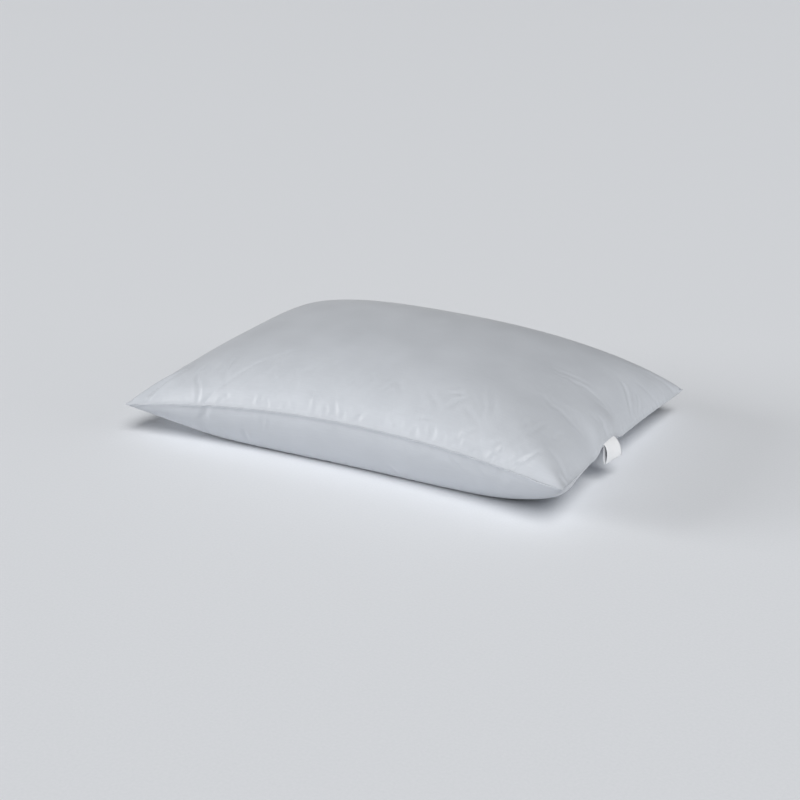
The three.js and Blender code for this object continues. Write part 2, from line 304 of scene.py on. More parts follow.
# %% Simulate the cloth
SEAM_HOLD, PANEL_HOLD = 0.3, 0.02
PRESSURE = 8.0
SETTLING_FRAMES = 30


def settle(bag, form):
    """Returns where the bag's vertices come to rest, starting from the crowned form."""
    bag.data.vertices.foreach_set("co", form.astype(np.float32).ravel())
    bag.shape_key_add(name="filled")
    cut = bag.shape_key_add(name="cut")
    cut.data.foreach_set("co", (flat * [1, 1, 0]).astype(np.float32).ravel())
    group = bag.vertex_groups.new(name="form")
    group.add(np.nonzero(cut_side != 0)[0].tolist(), PANEL_HOLD, "REPLACE")
    group.add(np.nonzero(cut_side == 0)[0].tolist(), SEAM_HOLD, "REPLACE")
    bpy.ops.mesh.primitive_plane_add(size=2)
    bed = bpy.context.object
    bed.modifiers.new("Collision", "COLLISION")
    bed.collision.thickness_outer = 1 * MM
    cloth = bag.modifiers.new("Cloth", "CLOTH")
    cloth.settings.quality = 6
    cloth.settings.mass = 0.056
    cloth.settings.tension_stiffness = 25
    cloth.settings.compression_stiffness = 25
    cloth.settings.shear_stiffness = 4
    cloth.settings.bending_stiffness = 0.01
    cloth.settings.rest_shape_key = cut
    cloth.settings.vertex_group_mass = group.name
    cloth.settings.pin_stiffness = 1
    cloth.settings.use_pressure = True
    cloth.settings.uniform_pressure_force = PRESSURE
    cloth.settings.effector_weights.gravity = 0
    cloth.collision_settings.distance_min = 1 * MM
    cloth.point_cache.frame_end = SETTLING_FRAMES
    scene = bpy.context.scene
    for number in range(1, SETTLING_FRAMES + 1):
        scene.frame_set(number)
    settled = bag.evaluated_get(bpy.context.evaluated_depsgraph_get()).to_mesh()
    points = np.array([v.co for v in settled.vertices])
    bag.modifiers.remove(cloth)
    bag.shape_key_clear()
    bpy.data.objects.remove(bed)
    scene.frame_set(1)
    return points


blown_up = settle(bag, form)
moved = np.linalg.norm(blown_up - form, axis=1)
print("mean and largest move in mm:", round(moved.mean() / MM, 1), round(moved.max() / MM, 1))

# %% [markdown]
# ## Keep the folds, not the swelling
# Pressure also swells the whole pillow more than its loose fibre would. The swelling is the slow part
# of each panel's movement and the folds are the quick part, so a blur of the movement, pinned to the
# seam's own blur, is taken away again, apart from a share of it on the crown. The folds are kept whole
# beside the seam and in part further in, less of them on the belly, where the filling's weight smooths it.

# %% Take the swelling out
BLUR_WIDTH = 24 * MM
SWELLING_KEPT = {1: 0.15, -1: 0.0}
FOLDS_KEPT = {1: 0.5, -1: 0.35}
PASSES = round(2 * (BLUR_WIDTH / CUT_LENGTH * CELLS_LONG) ** 2)
FADE_CELLS = 6


def on_grid(values, side):
    """One panel's values, with the seam's, as an array of columns by rows."""
    grid = np.zeros((CELLS_LONG + 1, CELLS_WIDE + 1, values.shape[1]))
    mine = (cut_side == side) | (cut_side == 0)
    grid[column[mine], row[mine]] = values[mine]
    return grid


def walk_round(nx, ny):
    """The border's grid places, in order round the pillow from the front left corner."""
    walk = [(i, 0) for i in range(nx)] + [(nx - 1, j) for j in range(1, ny)]
    walk += [(i, ny - 1) for i in range(nx - 2, -1, -1)] + [(0, j) for j in range(ny - 2, 0, -1)]
    return tuple(np.array(walk).T)


def smooth_round(values, times):
    for _ in range(times):
        values = (np.roll(values, 1, axis=0) + 2 * values + np.roll(values, -1, axis=0)) / 4
    return values


def slow_part(movement):
    """The movement blurred over a panel, with the border kept at its own blur."""
    border = walk_round(*movement.shape[:2])
    pinned = smooth_round(movement[border], PASSES)
    slow = movement.copy()
    for _ in range(PASSES):
        slow[border] = pinned
        slow[1:-1] = (slow[:-2] + 2 * slow[1:-1] + slow[2:]) / 4
        slow[:, 1:-1] = (slow[:, :-2] + 2 * slow[:, 1:-1] + slow[:, 2:]) / 4
    slow[border] = pinned
    return slow


coarse = {}
i, j = np.meshgrid(range(CELLS_LONG + 1), range(CELLS_WIDE + 1), indexing="ij")
cells_in = np.minimum.reduce([i, CELLS_LONG - i, j, CELLS_WIDE - j])
inside_share = np.clip(cells_in / FADE_CELLS, 0, 1)[..., None]
for side in (1, -1):
    movement = on_grid(blown_up - form, side)
    swelling = slow_part(movement)
    folds = (movement - swelling) * (1 + (FOLDS_KEPT[side] - 1) * inside_share)
    coarse[side] = on_grid(form, side) + folds + SWELLING_KEPT[side] * swelling
    heights = coarse[side][..., 2] / MM
    print("panel", side, "lies between", round(heights.min(), 1), "and", round(heights.max(), 1), "mm")

# %% [markdown]
# ## From the bag to two fine panels
# The simulation's grid is coarse. Each panel is a new grid with finer cells, and much finer ones beside
# the seam, and its points are read off the settled bag along smooth cubic curves. The grid also has the
# seam allowance, 10 mm of cloth beyond the stitch line, which a sewn and turned bag keeps on its inside.

# %% Fine grid lines and resampling
ALLOWANCE_RINGS = np.array([-10, -7, -4, -1.8, -0.7]) * MM
SEAM_RINGS = np.array([0, 0.7, 1.4, 1.9, 2.4, 3.0, 3.9, 5.2, 7.2, 9.8]) * MM
RINGS = np.concatenate([ALLOWANCE_RINGS, SEAM_RINGS])
SEAM_LINE = len(ALLOWANCE_RINGS)
CELL = 3.0 * MM


def fine_lines(length):
    """Places across a panel, in metres from one stitch line: the other one is at length."""
    first = SEAM_RINGS[-1]
    count = round((length - 2 * first) / CELL)
    middle = np.linspace(first, length - first, count + 1)[1:-1]
    return np.concatenate([RINGS, middle, (length - RINGS)[::-1]])


def cubic_rows(rows, places):
    """Reads rows of points at fractional row numbers, on a Catmull-Rom curve through them."""
    last = len(rows) - 1
    places = np.clip(places, 0, last)
    k = np.clip(np.floor(places).astype(int), 0, last - 1)
    f = (places - k)[:, None, None]
    p, q = rows[k], rows[k + 1]
    before = np.where(k[:, None, None] > 0, rows[np.maximum(k - 1, 0)], 2 * p - q)
    after = np.where(k[:, None, None] < last - 1, rows[np.minimum(k + 2, last)], 2 * q - p)
    bend = before - 2.5 * p + 2 * q - after / 2
    return p + f * ((q - before) / 2 + f * (bend + f * (1.5 * (p - q) + (after - before) / 2)))


X_LINES, Y_LINES = fine_lines(CUT_LENGTH), fine_lines(CUT_WIDTH)
NX, NY = len(X_LINES), len(Y_LINES)


def fine_points(side):
    """The settled panel as an array of points, X_LINES by Y_LINES."""
    long_way = cubic_rows(coarse[side], X_LINES / CUT_LENGTH * CELLS_LONG)
    return cubic_rows(long_way.transpose(1, 0, 2), Y_LINES / CUT_WIDTH * CELLS_WIDE).transpose(1, 0, 2)


surface = {1: fine_points(1), -1: fine_points(-1)}
X, Y = np.meshgrid(X_LINES, Y_LINES, indexing="ij")
TO_SHORT = CUT_LENGTH / 2 - np.abs(X - CUT_LENGTH / 2)
TO_LONG = CUT_WIDTH / 2 - np.abs(Y - CUT_WIDTH / 2)
TO_SEAM = np.minimum(TO_SHORT, TO_LONG)
print("each panel has", X.size, "points")


def unit(vectors):
    return vectors / np.maximum(np.linalg.norm(vectors, axis=-1, keepdims=True), 1e-12)


def outward(points, side):
    """Unit normals of a panel's grid, pointing out of the pillow."""
    return unit(np.cross(np.gradient(points, axis=0), np.gradient(points, axis=1))) * side


# %% [markdown]
# ## Following the stitch line
# Many small parts follow the seam: the folded lips, the puckers, the thread and the label. The stitch
# line is read once, in order round the pillow, with two directions at each point: straight out of the
# pillow, and up across the seam from the bottom panel to the top one.

# %% The stitch line and its directions
FRAME_RING = 8 * MM
CORNER_SMOOTHING = 9

inner = [k + SEAM_LINE for k in walk_round(NX - 2 * SEAM_LINE, NY - 2 * SEAM_LINE)]
WALK = (inner[0], inner[1])
REACH = int(np.searchsorted(X_LINES, FRAME_RING))


def seam_frame():
    """Stitch line points, the way out and the way up, in order round the pillow."""
    inside = (np.clip(WALK[0], REACH, NX - 1 - REACH), np.clip(WALK[1], REACH, NY - 1 - REACH))
    line = surface[1][WALK]
    out = unit(line - surface[1][inside]) + unit(line - surface[-1][inside])
    out = unit(smooth_round(out, CORNER_SMOOTHING))
    along = unit(smooth_round(np.roll(line, -1, axis=0) - np.roll(line, 1, axis=0), CORNER_SMOOTHING))
    up = unit(np.cross(out, along))
    return line, unit(np.cross(along, up)), up


LINE, OUT, UP = seam_frame()
ALONG_SEAM = np.concatenate([[0], np.cumsum(np.linalg.norm(np.diff(LINE, axis=0), axis=1))])
WALK_NUMBER = np.zeros((NX, NY), dtype=int)
WALK_NUMBER[WALK] = range(len(LINE))
print("the seam is", round((ALONG_SEAM[-1] + np.linalg.norm(LINE[-1] - LINE[0])) * 1000), "mm round")


def nearest_on_seam():
    """Number in the walk of the stitch line point nearest to each grid point."""
    i, j = np.meshgrid(range(NX), range(NY), indexing="ij")
    i_in, j_in = np.clip(i, SEAM_LINE, NX - 1 - SEAM_LINE), np.clip(j, SEAM_LINE, NY - 1 - SEAM_LINE)
    to_short = TO_SHORT < TO_LONG
    i_seam = np.where(to_short, np.where(X < CUT_LENGTH / 2, SEAM_LINE, NX - 1 - SEAM_LINE), i_in)
    j_seam = np.where(to_short, j_in, np.where(Y < CUT_WIDTH / 2, SEAM_LINE, NY - 1 - SEAM_LINE))
    return WALK_NUMBER[i_seam, j_seam]


NEAREST = nearest_on_seam()

# %% [markdown]
# ## Needle puckers
# A lockstitch draws the cloth up a little, so the seam wavers and short shallow puckers stand across it
# on both panels. Their place and depth are a sum of a few waves along the seam with seeded phases.

# %% Pucker the cloth beside the seam
PUCKER_WAVES = np.array([9.0, 13.0, 19.0, 31.0]) * MM
PUCKER_DEPTH = 0.30 * MM
PUCKER_START, PUCKER_REACH = 2.5 * MM, 13 * MM
WAVER, WAVER_REACH = 0.22 * MM, 6 * MM
random = np.random.default_rng(7)


def waves_along(seam_place):
    """A wavering value of about -1 to 1 along the seam, new at each call."""
    total = np.zeros_like(seam_place)
    for wave in PUCKER_WAVES:
        drift = random.uniform(0.5, 1.5) * np.sin(seam_place / (9 * wave) + random.uniform(0, 6))
        total += np.sin(2 * math.pi * seam_place / wave + drift + random.uniform(0, 6))
    return total / 2


def add_puckers():
    place = ALONG_SEAM[NEAREST]
    deep = np.clip(TO_SEAM, 0, None)
    envelope = np.clip(deep / PUCKER_START, 0, 1) * np.exp(-(deep / PUCKER_REACH) ** 2)
    strength = 0.55 + 0.45 * np.sin(place / (61 * MM)) * np.sin(place / (37 * MM) + 1)
    for side in (1, -1):
        lift = PUCKER_DEPTH * waves_along(place) * envelope * strength
        surface[side] += outward(surface[side], side) * lift[..., None]
    shared = np.exp(-(deep / WAVER_REACH) ** 2)[..., None]
    waver = WAVER * (OUT * 0.5 * waves_along(ALONG_SEAM)[:, None] + UP * waves_along(ALONG_SEAM)[:, None])
    for side in (1, -1):
        surface[side] += waver[NEAREST] * shared


add_puckers()
LINE = surface[1][WALK]

# %% [markdown]
# ## Creases
# Handling leaves creases: a crease is a shallow valley with a soft shoulder on each side. A few near the
# corners have their own places on the cut, measured from its front left corner. Many short ones stand
# across the long seams, most of them in front, and each one's place, length and depth is seeded.

# %% Press the creases
# Each crease is its panel, its two ends, its width, its depth and its bow.
CREASES = [
    (1, (22, -8), (70, 84), 8.0, 5.0, 0.2), (1, (108, 74), (127, 0), 3.4, 2.4, -1.5),
    (1, (147, 98), (158, 44), 4.5, 1.2, 0.5), (1, (612, 32), (605, -4), 2.8, 2.1, 0.3),
    (1, (650, 30), (638, -4), 3.0, 2.2, 0.2), (1, (656, 46), (649, 12), 2.8, 1.9, 0.4),
    (1, (646, 338), (699, 302), 4.0, 1.6, 0.5), (1, (676, 352), (706, 328), 3.4, 1.0, 0.3),
]
SHORT_CREASES = {("front", 1): 110, ("front", -1): 26, ("back", 1): 50, ("back", -1): 16}
CORNER_MARGIN, FIRST_PLACE, BAND = 40, 6, 95    # mm: where the middles of the short creases may lie
SHALLOWEST, DEEPEST = 0.25, {"front": 1.0, "back": 0.7}    # mm
pressed = {side: np.zeros((NX, NY)) for side in (1, -1)}


def press(side, start, end, width, depth, bow):
    """Presses one crease into a panel: all lengths in mm, and bow is its sideways bend in widths."""
    start, end = np.array(start) * MM, np.array(end) * MM
    length = np.linalg.norm(end - start)
    way_x, way_y = (end - start) / length
    along = ((X - start[0]) * way_x + (Y - start[1]) * way_y) / length
    across = ((Y - start[1]) * way_x - (X - start[0]) * way_y) / (width * MM)
    along = np.clip(along, 0, 1)
    across = across - bow * np.sin(2 * math.pi * along)
    pressed[side] -= depth * MM * np.sin(math.pi * along) * (1 - across ** 2) * np.exp(-across ** 2 / 2)


def press_short_creases(edge, side, count):
    """Short creases across a long seam, most of them near it. One in three is a ridge."""
    for _ in range(count):
        place = random.uniform(CORNER_MARGIN, CUT_LENGTH / MM - CORNER_MARGIN)
        middle = np.array([place, FIRST_PLACE + BAND * random.uniform(0, 1) ** 1.7])
        half = random.uniform(5, 15) * (1 + middle[1] / 90)
        lean = random.normal(0, 0.3)
        reach = half * np.array([math.sin(lean), math.cos(lean)])
        start, end = middle - reach, middle + reach
        start[1] = max(start[1], 3)
        if edge == "back":
            start[1], end[1] = CUT_WIDTH / MM - start[1], CUT_WIDTH / MM - end[1]
        depth = random.uniform(SHALLOWEST, DEEPEST[edge]) * random.choice([1, 1, -0.7])
        press(side, start, end, random.uniform(2.6, 5.0), depth, random.normal(0, 0.5))


for crease in CREASES:
    press(*crease)
for (edge, side), count in SHORT_CREASES.items():
    press_short_creases(edge, side, count)
for side in (1, -1):
    calm = np.clip(TO_SEAM / (3 * MM), 0, 1)
    surface[side] += outward(surface[side], side) * (pressed[side] * calm)[..., None]
    print("panel", side, "has creases down to", round(pressed[side].min() / MM, 1), "mm")

# %% [markdown]
# ## The knife-edge seam
# The two folded edges stand out as a thin double lip with a groove between them where the thread runs.
# The lip is a short profile: how far out of the seam a point stands, and how far off the seam's middle,
# given by its distance from the stitch line along the cloth. Negative distances are the allowance, which
# runs back into the pillow.

# %% Fold the lips
LIP_AT = RINGS
LIP_OUT = np.array([-9.7, -6.9, -4.0, -1.8, -0.7, 0, 0.7, 1.5, 2.0, 2.2, 1.9, 1.2, 0.5, 0.1, 0]) * MM
LIP_UP = np.array([1.2, 1.0, 0.7, 0.36, 0.24, 0.2, 0.13, 0.06, 0.18, 0.6, 1.15, 1.8, 2.6, 3.4, 4.2]) * MM
LIP_SHARE = np.array([1, 1, 1, 1, 1, 1, 1, 1, 1, 1, 0.95, 0.8, 0.5, 0.2, 0])
LOWEST = 0.2 * MM    # the cloth lies on the bed and never under it


def fold_lip(points, side):
    """Folds a panel's edge: out along the lip, round its nose and back into the allowance."""
    base, out, up = LINE[NEAREST], OUT[NEAREST], UP[NEAREST] * side
    height = np.sum((points - base) * up, axis=-1)
    share = np.interp(TO_SEAM, LIP_AT, LIP_SHARE)
    lifted = points + up * ((np.interp(TO_SEAM, LIP_AT, LIP_UP) - height) * share)[..., None]
    turned = lifted + out * np.interp(TO_SEAM, LIP_AT, LIP_OUT)[..., None]
    turned[..., 2] = np.maximum(turned[..., 2], LOWEST)
    return turned


folded = {side: fold_lip(surface[side], side) for side in (1, -1)}

# %% [markdown]
# ## Putting the cloth together
# A flat grid is added for each piece of cloth, its vertices are moved to their places, and Solidify
# gives the cloth its thickness. The flat cut is kept as the UV map, in metres, so that the weave follows
# the cloth. The corners of the allowance are trimmed off, as a maker does before turning the bag.

# %% Cloth builder
CLOTH_THICKNESS = 0.5 * MM


def cloth_grid(name, points, x_lines, y_lines, thickness, side=1, trimmed=None):
    """A sheet of cloth from an array of points, with its flat cut as the UV map."""
    nx, ny = len(x_lines), len(y_lines)
    bpy.ops.object.select_all(action="DESELECT")
    bpy.ops.mesh.primitive_grid_add(x_subdivisions=nx - 1, y_subdivisions=ny - 1, size=1)
    cloth = bpy.context.object
    cloth.name = name
    cloth.data.vertices.foreach_set("co", points.transpose(1, 0, 2).astype(np.float32).ravel())
    corner = np.zeros(len(cloth.data.loops), dtype=np.int32)
    cloth.data.loops.foreach_get("vertex_index", corner)
    uv = cloth.data.uv_layers[0]
    uv.name = "cut"
    flat_uv = np.stack([x_lines[corner % nx], y_lines[corner // nx]], axis=-1)
    uv.data.foreach_set("uv", flat_uv.astype(np.float32).ravel())
    if trimmed is not None:
        for polygon in cloth.data.polygons:
            polygon.select = False
        for edge in cloth.data.edges:
            edge.select = False
        cloth.data.vertices.foreach_set("select", trimmed.T.ravel())
        bpy.ops.object.mode_set(mode="EDIT")
        bpy.ops.mesh.delete(type="VERT")
        bpy.ops.object.mode_set(mode="OBJECT")
    if side < 0:
        cloth.data.flip_normals()
    apply_modifier(cloth, "SOLIDIFY", thickness=thickness, offset=-1, use_even_offset=False)
    bpy.ops.object.shade_smooth()
    return cloth


corner_squares = (TO_SHORT < 0) & (TO_LONG < 0)
panels = {}
for side, name, node in ((1, "top_cloth", "top_panel"), (-1, "bottom_cloth", "bottom_panel")):
    cloth = cloth_grid(name, folded[side], X_LINES, Y_LINES, CLOTH_THICKNESS, side, corner_squares)
    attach(cloth, "root")
    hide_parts(node)
    panels[side] = cloth
    print(name, "has", len(cloth.data.polygons), "faces")

# %% [markdown]
# ## The fibre filling
# Loose siliconised fibre fills the bag to just short of the cloth. The sewn bag's own mesh is reused for
# it: every point is drawn in towards the middle of the pillow, and soft lumps are added, because loose
# fibre clumps.

# %% Fill the bag
FILLING_INSET = 17 * MM
FILLING_SHARE = 0.93
LUMP_DEPTH = 1.6 * MM


def filling_points():
    shrink = np.array([1 - 2 * FILLING_INSET / CUT_LENGTH, 1 - 2 * FILLING_INSET / CUT_WIDTH])
    middle = (coarse[1] + coarse[-1]) / 2
    long_way = (np.linspace(-1, 1, CELLS_LONG + 1) * shrink[0] + 1) / 2 * CELLS_LONG
    wide_way = (np.linspace(-1, 1, CELLS_WIDE + 1) * shrink[1] + 1) / 2 * CELLS_WIDE
    drawn_in = cubic_rows(cubic_rows(middle, long_way).transpose(1, 0, 2), wide_way).transpose(1, 0, 2)
    points = np.zeros_like(form)
    for side in (1, -1):
        mine = cut_side != -side
        thick = (coarse[side] - middle) * FILLING_SHARE
        s, t = cut_s[mine], cut_t[mine]
        lumps = np.sin(19 * s + 3 * t) * np.sin(14 * t - 4 * s) + np.sin(41 * s - 6) * np.sin(31 * t + 2)
        lift = thick[column[mine], row[mine]]
        calm = np.clip(np.abs(lift[:, 2]) / (20 * MM), 0, 1)
        points[mine] = drawn_in[column[mine], row[mine]] + lift
        points[mine, 2] -= side * LUMP_DEPTH * (1 + lumps / 2) * calm
    return points


bag.name = "fibre_wadding"
bag.data.vertices.foreach_set("co", filling_points().astype(np.float32).ravel())
bag.data.update()
only(bag)
bpy.ops.object.shade_smooth()
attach(bag, "root")
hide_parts("fibre_fill")
print("the filling is", [round(x / MM) for x in bag.dimensions], "mm")

# %% [markdown]
# ## The machine-sewn thread
# Where the filled bag pulls the seam open, its thread shows in the groove as a row of tiny stitches that
# cross from one fold to the other every 2.5 mm. A path curve that zigzags along the stitch line is given
# a round section and made a mesh.

# %% Thread helpers
STITCH = 2.5 * MM
THREAD_RADIUS = 0.2 * MM
SIDES = {"front": (0, 1, -1), "back": (0, 1, 1), "left": (1, 0, -1), "right": (1, 0, 1)}


def seam_side(side):
    """Stitch line points of one side with both directions, in order of x or of y."""
    along, across, sign = SIDES[side]
    edge = (NY if across == 1 else NX) - 1 - SEAM_LINE if sign > 0 else SEAM_LINE
    mine = WALK[across] == edge
    order = np.argsort(WALK[along][mine])
    return [values[mine][order] for values in (LINE, OUT, UP)]


def stations(side, start, end, spacing):
    """Points and directions at even steps of x or y along one side."""
    line, out, up = seam_side(side)
    axis = SIDES[side][0]
    places = np.linspace(start, end, max(round((end - start) / spacing), 1) + 1)
    read = [np.stack([np.interp(places, line[:, axis], values[:, k]) for k in range(3)], axis=1)
            for values in (line, out, up)]
    return read[0], unit(read[1]), unit(read[2])


def tube_along(name, points, radius, corners=1):
    """A round tube along a row of points."""
    bpy.ops.object.select_all(action="DESELECT")
    bpy.ops.curve.primitive_nurbs_path_add()
    path = bpy.context.object
    path.name = name
    path.data.splines.clear()
    spline = path.data.splines.new("POLY")
    spline.points.add(len(points) - 1)
    spline.points.foreach_set("co", np.column_stack([points, np.ones(len(points))]).ravel())
    path.data.bevel_depth = radius
    path.data.bevel_resolution = corners
    path.data.use_fill_caps = True
    only(path)
    bpy.ops.object.convert(target="MESH")
    tube = bpy.context.object
    bpy.ops.object.shade_smooth()
    return tube


# %% Sew the machine seams
THREAD_OUT = 0.9 * MM
STITCH_SPREAD = 0.2 * MM
thread_pieces = []
for side, names in THREADS.items():
    for node in (name for name in names if name.startswith("seam_thread")):
        lowest, highest = (corner[SIDES[side][0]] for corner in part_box(node))
        line, out, up = stations(side, lowest, highest, STITCH / 3)
        swing = np.sin(np.arange(len(line)) * math.pi * 2 / 3 + 0.4)[:, None] * STITCH_SPREAD
        zigzag = line + out * THREAD_OUT + up * swing
        piece = tube_along(node.replace("seam_thread", "machine_stitch"), zigzag, THREAD_RADIUS)
        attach(piece, "root")
        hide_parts(node)
        thread_pieces.append(piece)
        print(piece.name, "has", len(line), "stations")

# %% [markdown]
# ## The closing stitch
# The bag is filled through a 180 mm opening in its left side, which is then closed by hand with slanted
# stitches over both folds, 5 mm apart, and a small knot at each end.

# %% Close the opening
HAND_STITCH = 5 * MM
KNOT_RADIUS = 0.75 * MM
lowest, highest = (corner[1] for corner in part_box("closing_stitch"))
line, out, up = stations("left", lowest, highest, HAND_STITCH / 8)
turn = np.arange(len(line)) / 8 * 2 * math.pi
whip = line + out * (1.1 * MM + 0.75 * MM * np.cos(turn))[:, None] + up * (1.45 * MM * np.sin(turn))[:, None]
closing = tube_along("hand_closing_stitch", whip, 1.15 * THREAD_RADIUS)
for end in (0, -1):
    bpy.ops.object.select_all(action="DESELECT")
    place = line[end] + out[end] * 1.9 * MM
    bpy.ops.mesh.primitive_ico_sphere_add(subdivisions=3, radius=KNOT_RADIUS, location=place)
    knot = bpy.context.object
    for v in knot.data.vertices:
        v.co *= 1 + 0.22 * math.sin(7 * math.atan2(v.co.y, v.co.x) + 5 * v.co.z / KNOT_RADIUS)
    bpy.ops.object.transform_apply(location=True, rotation=False, scale=False)
    bpy.ops.object.shade_smooth()
    closing.select_set(True)
    bpy.context.view_layer.objects.active = closing
    bpy.ops.object.join()
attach(closing, "root")
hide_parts("closing_stitch")
thread_pieces.append(closing)
print("the closing stitch has", round((highest - lowest) / HAND_STITCH), "stitches")

# %% [markdown]
# ## The overlocked raw edges
# Inside, the two allowances are overlocked together so that they can't fray. The thread wraps the raw
# edge in loops 3 mm apart, so one path winds round both layers along each side.

# %% Overlock the allowances
LOOP_STEP = 3 * MM
LOOP_POINTS = 8
LOOP_MIDDLE, LOOP_WIDTH, LOOP_HEIGHT = -7.6 * MM, 3.0 * MM, 1.9 * MM
overlocks = []
for node in [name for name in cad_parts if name.startswith("overlock")]:
    side = node.split("_")[1]
    lowest, highest = (corner[SIDES[side][0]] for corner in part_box(node))
    line, out, up = stations(side, lowest, highest, LOOP_STEP / LOOP_POINTS)
    turn = np.arange(len(line)) / LOOP_POINTS * 2 * math.pi
    loops = line + out * (LOOP_MIDDLE + LOOP_WIDTH * np.cos(turn))[:, None]
    loops += up * (LOOP_HEIGHT * np.sin(turn))[:, None]
    piece = tube_along(node.replace("overlock", "overlock_loops"), loops, THREAD_RADIUS)
    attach(piece, "root")
    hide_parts(node)
    overlocks.append(piece)
    print(piece.name, "has", round((highest - lowest) / LOOP_STEP), "loops")

# %% [markdown]
# ## The care label
# A white satin ribbon is folded in half and caught in the right side's seam, so it stands out as a loop.
# Its path is a short row of Bezier curves in the plane across the seam, and a little sideways curl keeps
# the ribbon from looking like card. It is blank.

# %% Fold the label
RIBBON_WIDTH, RIBBON_THICKNESS = 42 * MM, 0.25 * MM
DROP, BULGE, INNER_BULGE, FOLD_OUT, TAIL = 28 * MM, 7 * MM, 1.6 * MM, 4 * MM, 8 * MM
CURVE_STEPS, WIDTH_CELLS = 12, 16
FLARE_OUT, FLARE_UP = 9.5 * MM, 3 * MM    # how far the back corner of the fold has sprung open
lowest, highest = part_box("care_label")
LABEL_FROM = lowest[1]


def bezier(a, b, c, d):
    f = np.linspace(0, 1, CURVE_STEPS + 1)[1:, None]
    a, b, c, d = (np.array(point) for point in (a, b, c, d))
    return a * (1 - f) ** 3 + 3 * b * f * (1 - f) ** 2 + 3 * c * f * f * (1 - f) + d * f ** 3


def label_path():
    """The ribbon's middle line across the seam: how far out, and how far up."""
    level, quarter = 0.16 * MM, DROP / 4
    tail = np.array([[-TAIL, level], [-TAIL / 2, level], [0, level], [0.8 * MM, level]])
    outer, inner, fold = (BULGE, -2 * quarter), (INNER_BULGE, -2 * quarter), (FOLD_OUT, -DROP)
    path = [tail, bezier(tail[-1], (FOLD_OUT, level), (BULGE, -quarter), outer)]
    path.append(bezier(outer, (BULGE, -3 * quarter), (FOLD_OUT + 1.2 * MM, -DROP), fold))
    path.append(bezier(fold, (FOLD_OUT - 1.2 * MM, -DROP), (INNER_BULGE, -3 * quarter), inner))
    path.append(bezier(inner, (INNER_BULGE, -quarter), (INNER_BULGE, -level), (0.8 * MM, -level)))
    path.append(tail[-2::-1] * [1, -1])
    return np.vstack(path)


path = label_path()
across = np.linspace(0, RIBBON_WIDTH, WIDTH_CELLS + 1)
line, out, up = stations("right", LABEL_FROM, LABEL_FROM + RIBBON_WIDTH, RIBBON_WIDTH / WIDTH_CELLS)
curved, straight = (
    np.stack([np.polyval(np.polyfit(across, line[:, k], degree), across) for k in range(3)], axis=1)
    for degree in (2, 1)
)
hang = np.clip(-path[:, 1] / DROP, 0, 1)[:, None, None]
line = curved[None] * (1 - hang) + straight[None] * hang
width_share = (across / RIBBON_WIDTH)[None, :, None]
curl = 0.5 * MM * np.sin(5 * width_share + 0.6) + 0.25 * MM * np.sin(11 * width_share)
ribbon = line + path[:, :1, None] * np.array([1, 0, 0]) + path[:, 1:, None] * np.array([0, 0, 1])
ribbon = ribbon + hang * (curl + FLARE_OUT * width_share) * np.array([1, 0, 0])
ribbon = ribbon + hang * FLARE_UP * width_share * np.array([0, 0, 1])
along_ribbon = np.concatenate([[0], np.cumsum(np.linalg.norm(np.diff(path, axis=0), axis=1))])
label = cloth_grid("blank_label", ribbon, along_ribbon, across, RIBBON_THICKNESS)
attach(label, "root")
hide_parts("care_label")
print("the ribbon is cut", round(RIBBON_WIDTH / MM), "by", round(along_ribbon[-1] / MM), "mm")

# %% [markdown]
# ## Material helpers
# Colours are sRGB hex values that one function turns to linear ones. A second function adds a node with
# its settings and its links, so that a finish reads as a short list. A third begins a material with the
# shader values that stay the same all over. A pattern's real size in metres becomes the scale that makes
# one unit one repeat.

# %% Material helpers
ONE_REPEAT = math.pi / 10    # the scale at which a wave texture repeats once in each unit


def linear(hex_colour):
    channels = [int(hex_colour[i:i + 2], 16) / 255 for i in (1, 3, 5)]
    return [c / 12.92 if c <= 0.04045 else ((c + 0.055) / 1.055) ** 2.4 for c in channels] + [1.0]


def add_node(material, kind, links=None, values=None, **settings):
    """Adds a node: settings are its own, values go in its inputs and links join sockets to them."""
    node = material.node_tree.nodes.new(kind)
    for name, value in settings.items():
        setattr(node, name, value)
    for name, value in (values or {}).items():
        node.inputs[name].default_value = value
    for name, socket in (links or {}).items():
        material.node_tree.links.new(socket, node.inputs[name])
    return node


def begin_material(name, **values):
    """A material and its shader, with the shader's constant values set on its own sockets."""
    material = bpy.data.materials.new(name)
    material.use_nodes = True
    shader = material.node_tree.nodes["Principled BSDF"]
    for socket, value in values.items():
        shader.inputs[socket.replace("_", " ")].default_value = value
    return material, shader


def per_unit(*sizes):
    """The scale at which a pattern of these sizes repeats once in each unit."""
    return tuple(1 / size for size in sizes)


# %% [markdown]
# ## Silver-grey sateen
# Sateen is woven with long floats that lie nearly parallel, which gives the cloth its soft gloss: a
# broad highlight and a little sheen at grazing angles. The thread itself is 0.12 mm and far too fine to
# show, so it is drawn 0.45 mm apart. Slubs are short thicker stretches of thread along the weft. A slow
# mottle is painted highlight and shade in the colour, standing for the soft lumps that loose fibre presses
# into the cloth from inside, and it also varies the gloss.

# %% Sateen
WEAVE = 0.45 * MM
SLUB_LENGTH, SLUB_WIDTH = 26 * MM, 1.1 * MM
LUMP_SHADE_SIZE = 55 * MM


